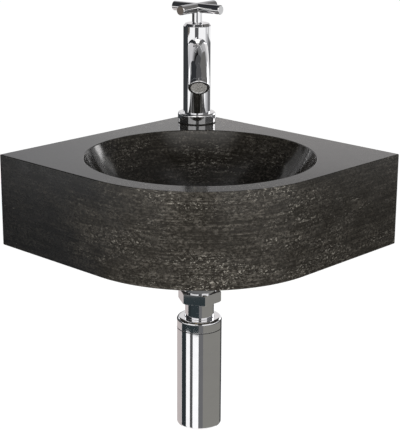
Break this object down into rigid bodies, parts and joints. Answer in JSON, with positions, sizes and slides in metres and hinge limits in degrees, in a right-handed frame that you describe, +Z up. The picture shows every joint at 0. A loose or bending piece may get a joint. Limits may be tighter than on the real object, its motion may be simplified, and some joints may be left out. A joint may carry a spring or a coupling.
{
  "type": "corner hand basin",
  "caption": "Dark stone corner hand basin with a round bowl, a chrome cross-handle cold tap, a free-flow grid waste and a chrome bottle trap.",
  "frame": {"origin": "the rear corner edge, where the two walls meet, in the plane of the rim", "axes": "+Z up, the rounded front faces -Y, +X to the right of someone standing in front"},
  "size_m": [0.4234, 0.3641, 0.4455],
  "materials": {
    "stone": "dark limestone, polished on top and in the bowl, honed on its sides",
    "chrome": "bright chrome plate",
    "brass": "turned brass",
    "steel": "plain stainless steel",
    "rubber": "matt black rubber",
    "ceramic": "lapped white ceramic",
    "plastic": "pale moulded plastic"
  },
  "bodies": {
    "basin": {"basin_block": "stone", "tap_base_gasket": "rubber", "tap_base_ring": "chrome", "tap_body": "chrome", "tap_shank": "brass", "shank_rubber_washer": "rubber", "shank_clamp_washer": "steel", "shank_back_nut": "brass", "spout_tube": "chrome", "aerator_housing": "chrome", "aerator_insert": "plastic", "aerator_seal": "rubber", "seat_seal": "rubber", "lower_ceramic_disc": "ceramic", "headwork_body": "brass", "headwork_o_ring": "rubber", "bonnet_cap": "chrome", "waste_upper_gasket": "rubber", "waste_body": "chrome", "waste_grid": "chrome", "waste_screw": "steel", "waste_lower_gasket": "rubber", "waste_slip_washer": "plastic", "waste_back_nut": "brass", "union_nut": "chrome", "union_washer": "rubber", "inlet_tube": "chrome", "trap_lid": "chrome", "lid_tube_seal": "rubber", "lid_seal": "rubber", "trap_bottle": "chrome", "outlet_seal": "rubber", "outlet_nut": "chrome"},
    "handle": {"spindle": "brass", "spindle_o_ring": "rubber", "upper_ceramic_disc": "ceramic", "handle_neck": "chrome", "handle_cross_bar": "chrome", "handle_side_arms": "chrome", "handle_grub_screw": "steel"}
  },
  "joints": [
    {"name": "handle_turn", "type": "hinge", "parent": "basin", "child": "handle", "pos_m": [0, -0.049, 0.1335], "axis": [0, 0, 1], "range_deg": [0, 180]}
  ]
}
